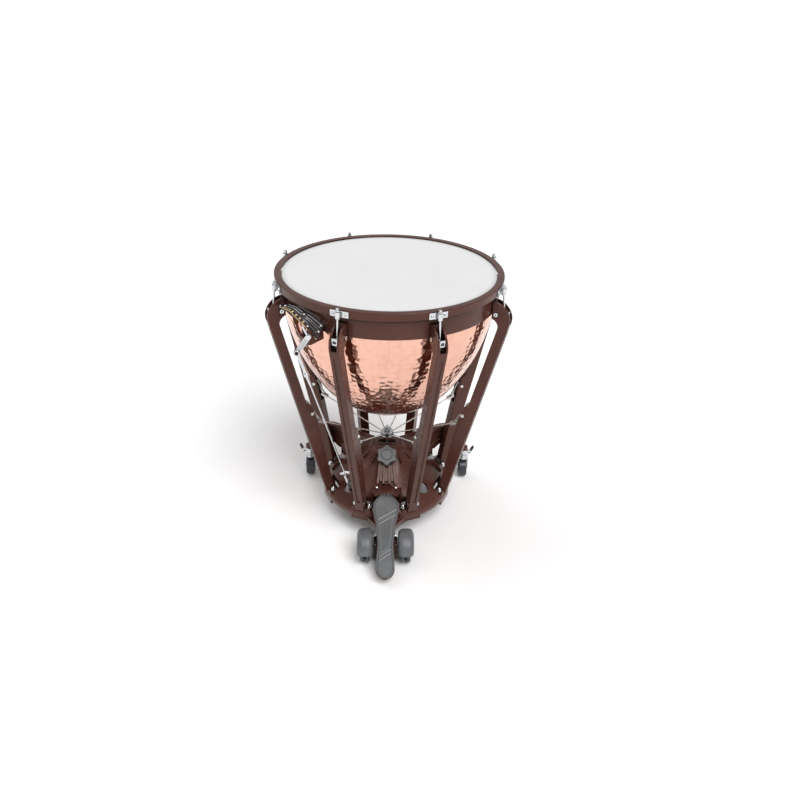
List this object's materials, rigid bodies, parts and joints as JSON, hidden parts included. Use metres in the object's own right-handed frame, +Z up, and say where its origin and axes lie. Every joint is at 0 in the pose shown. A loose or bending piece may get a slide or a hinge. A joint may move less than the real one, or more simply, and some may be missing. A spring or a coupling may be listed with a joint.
{
  "type": "pedal timpani drum",
  "caption": "Pedal-tuned kettle drum: hammered copper kettle in a ring of curved struts on a cast base with casters, pedal, spider linkage and tuning gauge.",
  "frame": {"origin": "on the floor, at the middle of the footprint's bounding box; the kettle's axis stands 43 mm behind it", "axes": "+Z up along the kettle's axis, -Y towards the player and the pedal, +X to the player's right"},
  "size_m": [0.7464, 0.8325, 0.8888],
  "materials": {
    "brown_coat": "satin powder coat",
    "copper": "hammered and polished copper",
    "head_film": "translucent renaissance-white film",
    "chrome": "polished chrome plating",
    "rod_steel": "drawn steel",
    "black_coat": "semi-gloss black enamel",
    "note_brass": "brushed brass",
    "grey_rubber": "moulded rubber",
    "grey_plastic": "moulded nylon",
    "tyre_rubber": "smooth caster tread"
  },
  "bodies": {
    "chassis": {"bowl": "copper", "support_band": "brown_coat", "drumhead": "head_film", "strut_1": "brown_coat", "strut_2": "brown_coat", "strut_3": "brown_coat", "strut_4": "brown_coat", "strut_5": "brown_coat", "strut_6": "brown_coat", "strut_7": "brown_coat", "strut_8": "brown_coat", "strut_bolts": "chrome", "foot_nuts": "chrome", "base_casting": "brown_coat", "pivot_pins": "chrome", "balance_spring": "rod_steel", "gauge_rail": "black_coat", "gauge_notes": "note_brass", "gauge_bracket": "brown_coat", "front_axles": "black_coat", "front_hoods": "grey_plastic"},
    "tuning_hoop": {"counterhoop": "brown_coat", "flesh_hoop": "chrome", "hoop_lugs": "chrome", "lug_screws": "chrome", "tension_rods": "chrome", "pull_rods": "chrome"},
    "pedal": {"pedal_frame": "brown_coat", "pedal_pad": "grey_rubber"},
    "lever": {"transfer_lever": "rod_steel"},
    "spider": {"spider_hub": "chrome", "draw_rod": "rod_steel"},
    "gauge_arm": {"gauge_lever": "chrome"},
    "gauge_link": {"gauge_rod": "chrome"},
    "knob": {"tension_knob": "grey_plastic"},
    "front_left": {"front_wheels_left": "tyre_rubber"},
    "front_right": {"front_wheels_right": "tyre_rubber"},
    "spoke_1": {"spider_rod_1": "rod_steel"},
    "crank_1": {"bell_crank_1": "rod_steel"},
    "spoke_2": {"spider_rod_2": "rod_steel"},
    "crank_2": {"bell_crank_2": "rod_steel"},
    "spoke_3": {"spider_rod_3": "rod_steel"},
    "crank_3": {"bell_crank_3": "rod_steel"},
    "spoke_4": {"spider_rod_4": "rod_steel"},
    "crank_4": {"bell_crank_4": "rod_steel"},
    "spoke_5": {"spider_rod_5": "rod_steel"},
    "crank_5": {"bell_crank_5": "rod_steel"},
    "spoke_6": {"spider_rod_6": "rod_steel"},
    "crank_6": {"bell_crank_6": "rod_steel"},
    "spoke_7": {"spider_rod_7": "rod_steel"},
    "crank_7": {"bell_crank_7": "rod_steel"},
    "spoke_8": {"spider_rod_8": "rod_steel"},
    "crank_8": {"bell_crank_8": "rod_steel"},
    "fork_left": {"rear_fork_left": "chrome"},
    "rear_roller_left": {"rear_wheel_left": "tyre_rubber"},
    "brake_left": {"brake_lever_left": "black_coat"},
    "fork_right": {"rear_fork_right": "chrome"},
    "rear_roller_right": {"rear_wheel_right": "tyre_rubber"},
    "brake_right": {"brake_lever_right": "black_coat"}
  },
  "joints": [
    {"name": "pedal_tilt", "type": "hinge", "parent": "chassis", "child": "pedal", "pos_m": [0, -0.263, 0.084], "axis": [-1, 0, 0], "range_deg": [0, 18]},
    {"name": "lever_tilt", "type": "hinge", "parent": "chassis", "child": "lever", "pos_m": [0, -0.129, 0.066], "axis": [-1, 0, 0], "range_deg": [0, 2.46]},
    {"name": "spider_drop", "type": "slide", "parent": "chassis", "child": "spider", "axis": [0, 0, 1], "range_m": [-0.00728, 0]},
    {"name": "spoke_1_tilt", "type": "hinge", "parent": "spider", "child": "spoke_1", "pos_m": [0.01571, 0.04951, 0.291], "axis": [0.3827, -0.9239, 0], "range_deg": [0, 2.78]},
    {"name": "crank_1_turn", "type": "hinge", "parent": "chassis", "child": "crank_1", "pos_m": [0.24945, 0.14632, 0.428], "axis": [-0.3827, 0.9239, 0], "range_deg": [0, 7.19]},
    {"name": "spoke_2_tilt", "type": "hinge", "parent": "spider", "child": "spoke_2", "pos_m": [0.00651, 0.05871, 0.291], "axis": [0.9239, -0.3827, 0], "range_deg": [0, 2.78]},
    {"name": "crank_2_turn", "type": "hinge", "parent": "chassis", "child": "crank_2", "pos_m": [0.10332, 0.29245, 0.428], "axis": [-0.9239, 0.3827, 0], "range_deg": [0, 7.19]},
    {"name": "spoke_3_tilt", "type": "hinge", "parent": "spider", "child": "spoke_3", "pos_m": [-0.00651, 0.05871, 0.291], "axis": [0.9239, 0.3827, 0], "range_deg": [0, 2.78]},
    {"name": "crank_3_turn", "type": "hinge", "parent": "chassis", "child": "crank_3", "pos_m": [-0.10332, 0.29245, 0.428], "axis": [-0.9239, -0.3827, 0], "range_deg": [0, 7.19]},
    {"name": "spoke_4_tilt", "type": "hinge", "parent": "spider", "child": "spoke_4", "pos_m": [-0.01571, 0.04951, 0.291], "axis": [0.3827, 0.9239, 0], "range_deg": [0, 2.78]},
    {"name": "crank_4_turn", "type": "hinge", "parent": "chassis", "child": "crank_4", "pos_m": [-0.24945, 0.14632, 0.428], "axis": [-0.3827, -0.9239, 0], "range_deg": [0, 7.19]},
    {"name": "spoke_5_tilt", "type": "hinge", "parent": "spider", "child": "spoke_5", "pos_m": [-0.01571, 0.03649, 0.291], "axis": [-0.3827, 0.9239, 0], "range_deg": [0, 2.78]},
    {"name": "crank_5_turn", "type": "hinge", "parent": "chassis", "child": "crank_5", "pos_m": [-0.24945, -0.06032, 0.428], "axis": [0.3827, -0.9239, 0], "range_deg": [0, 7.19]},
    {"name": "spoke_6_tilt", "type": "hinge", "parent": "spider", "child": "spoke_6", "pos_m": [-0.00651, 0.02729, 0.291], "axis": [-0.9239, 0.3827, 0], "range_deg": [0, 2.78]},
    {"name": "crank_6_turn", "type": "hinge", "parent": "chassis", "child": "crank_6", "pos_m": [-0.10332, -0.20645, 0.428], "axis": [0.9239, -0.3827, 0], "range_deg": [0, 7.19]},
    {"name": "spoke_7_tilt", "type": "hinge", "parent": "spider", "child": "spoke_7", "pos_m": [0.00651, 0.02729, 0.291], "axis": [-0.9239, -0.3827, 0], "range_deg": [0, 2.78]},
    {"name": "crank_7_turn", "type": "hinge", "parent": "chassis", "child": "crank_7", "pos_m": [0.10332, -0.20645, 0.428], "axis": [0.9239, 0.3827, 0], "range_deg": [0, 7.19]},
    {"name": "spoke_8_tilt", "type": "hinge", "parent": "spider", "child": "spoke_8", "pos_m": [0.01571, 0.03649, 0.291], "axis": [-0.3827, -0.9239, 0], "range_deg": [0, 2.78]},
    {"name": "crank_8_turn", "type": "hinge", "parent": "chassis", "child": "crank_8", "pos_m": [0.24945, -0.06032, 0.428], "axis": [0.3827, 0.9239, 0], "range_deg": [0, 7.19]},
    {"name": "hoop_pull", "type": "slide", "parent": "chassis", "child": "tuning_hoop", "axis": [0, 0, 1], "range_m": [-0.00258, 0]},
    {"name": "gauge_arm_turn", "type": "hinge", "parent": "chassis", "child": "gauge_arm", "pos_m": [-0.222, -0.302, 0.806], "axis": [0, -1, 0], "range_deg": [0, 10.03]},
    {"name": "gauge_link_turn", "type": "hinge", "parent": "gauge_arm", "child": "gauge_link", "pos_m": [-0.256, -0.296, 0.757], "axis": [0, 1, 0], "range_deg": [0, 10.87]},
    {"name": "knob_turn", "type": "hinge", "parent": "chassis", "child": "knob", "pos_m": [0, -0.042, 0.248], "axis": [0, -0.6691, 0.7431], "continuous": true},
    {"name": "front_roll_left", "type": "hinge", "parent": "chassis", "child": "front_left", "pos_m": [-0.066, -0.276, 0.052], "axis": [1, 0, 0], "continuous": true},
    {"name": "front_roll_right", "type": "hinge", "parent": "chassis", "child": "front_right", "pos_m": [0.066, -0.276, 0.052], "axis": [1, 0, 0], "continuous": true},
    {"name": "rear_swivel_left", "type": "hinge", "parent": "chassis", "child": "fork_left", "pos_m": [-0.286, 0.202, 0.1], "axis": [0, 0, 1], "continuous": true},
    {"name": "rear_roll_left", "type": "hinge", "parent": "fork_left", "child": "rear_roller_left", "pos_m": [-0.286, 0.224, 0.036], "axis": [1, 0, 0], "continuous": true},
    {"name": "brake_left_turn", "type": "hinge", "parent": "fork_left", "child": "brake_left", "pos_m": [-0.3145, 0.235, 0.095], "axis": [0, -1, 0], "range_deg": [0, 8]},
    {"name": "rear_swivel_right", "type": "hinge", "parent": "chassis", "child": "fork_right", "pos_m": [0.286, 0.202, 0.1], "axis": [0, 0, 1], "continuous": true},
    {"name": "rear_roll_right", "type": "hinge", "parent": "fork_right", "child": "rear_roller_right", "pos_m": [0.286, 0.224, 0.036], "axis": [1, 0, 0], "continuous": true},
    {"name": "brake_right_turn", "type": "hinge", "parent": "fork_right", "child": "brake_right", "pos_m": [0.3145, 0.235, 0.095], "axis": [0, 1, 0], "range_deg": [0, 8]}
  ],
  "couplings": [
    {"joint": "lever_tilt", "follows": "pedal_tilt", "ratio": 0.1339},
    {"joint": "spider_drop", "follows": "pedal_tilt", "m_per_rad": -0.02302},
    {"joint": "spoke_1_tilt", "follows": "pedal_tilt", "ratio": 0.1515},
    {"joint": "crank_1_turn", "follows": "pedal_tilt", "ratio": 0.3969},
    {"joint": "spoke_2_tilt", "follows": "pedal_tilt", "ratio": 0.1515},
    {"joint": "crank_2_turn", "follows": "pedal_tilt", "ratio": 0.3969},
    {"joint": "spoke_3_tilt", "follows": "pedal_tilt", "ratio": 0.1515},
    {"joint": "crank_3_turn", "follows": "pedal_tilt", "ratio": 0.3969},
    {"joint": "spoke_4_tilt", "follows": "pedal_tilt", "ratio": 0.1515},
    {"joint": "crank_4_turn", "follows": "pedal_tilt", "ratio": 0.3969},
    {"joint": "spoke_5_tilt", "follows": "pedal_tilt", "ratio": 0.1515},
    {"joint": "crank_5_turn", "follows": "pedal_tilt", "ratio": 0.3969},
    {"joint": "spoke_6_tilt", "follows": "pedal_tilt", "ratio": 0.1515},
    {"joint": "crank_6_turn", "follows": "pedal_tilt", "ratio": 0.3969},
    {"joint": "spoke_7_tilt", "follows": "pedal_tilt", "ratio": 0.1515},
    {"joint": "crank_7_turn", "follows": "pedal_tilt", "ratio": 0.3969},
    {"joint": "spoke_8_tilt", "follows": "pedal_tilt", "ratio": 0.1515},
    {"joint": "crank_8_turn", "follows": "pedal_tilt", "ratio": 0.3969},
    {"joint": "hoop_pull", "follows": "pedal_tilt", "m_per_rad": -0.00804},
    {"joint": "gauge_arm_turn", "follows": "pedal_tilt", "ratio": 0.5545},
    {"joint": "gauge_link_turn", "follows": "pedal_tilt", "ratio": 0.6012}
  ]
}
